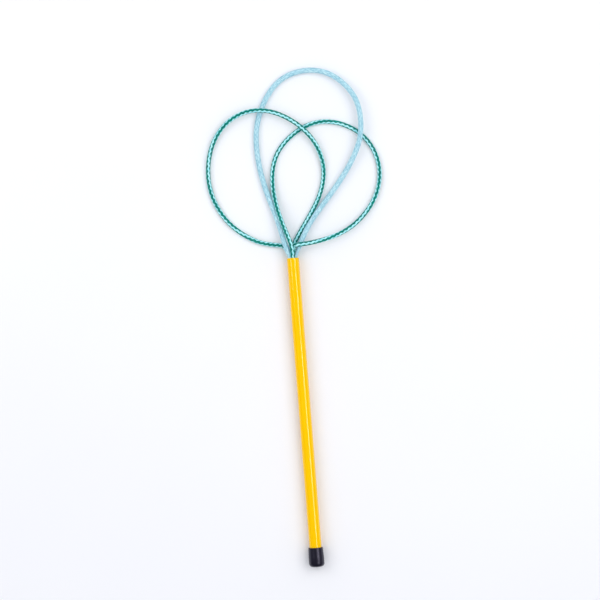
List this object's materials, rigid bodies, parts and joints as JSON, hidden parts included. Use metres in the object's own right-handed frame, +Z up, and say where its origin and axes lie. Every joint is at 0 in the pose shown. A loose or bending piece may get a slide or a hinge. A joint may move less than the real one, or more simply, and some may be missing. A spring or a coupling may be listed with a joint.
{
  "type": "bubble wand",
  "caption": "Bubble wand with a plastic tube handle, a soft push-on end cap, and wire-cored braided cord loops that soak up bubble solution and hold the soap film.",
  "frame": {"origin": "centre of the butt, the flat end of the cap, on the handle's axis", "axes": "+Y along the handle towards the loops, +Z up from the surface the wand lies on, +X to the right of the handle"},
  "size_m": [0.1818, 0.5154, 0.0166],
  "materials": {
    "yellow_tube": "glossy extruded plastic, bright yellow",
    "black_vinyl": "soft satin vinyl, black",
    "plug_resin": "matte cast resin, off-white",
    "blue_braid": "fine braided yarn, light blue",
    "green_braid": "braided yarn with a teal and mint zigzag",
    "core_wire": "drawn galvanised wire"
  },
  "bodies": {
    "root": {"handle_tube": "yellow_tube", "end_cap": "black_vinyl", "anchor_plug": "plug_resin", "blue_sleeve": "blue_braid", "blue_wire": "core_wire", "left_sleeve": "green_braid", "left_wire": "core_wire", "right_sleeve": "green_braid", "right_wire": "core_wire"}
  },
  "joints": []
}
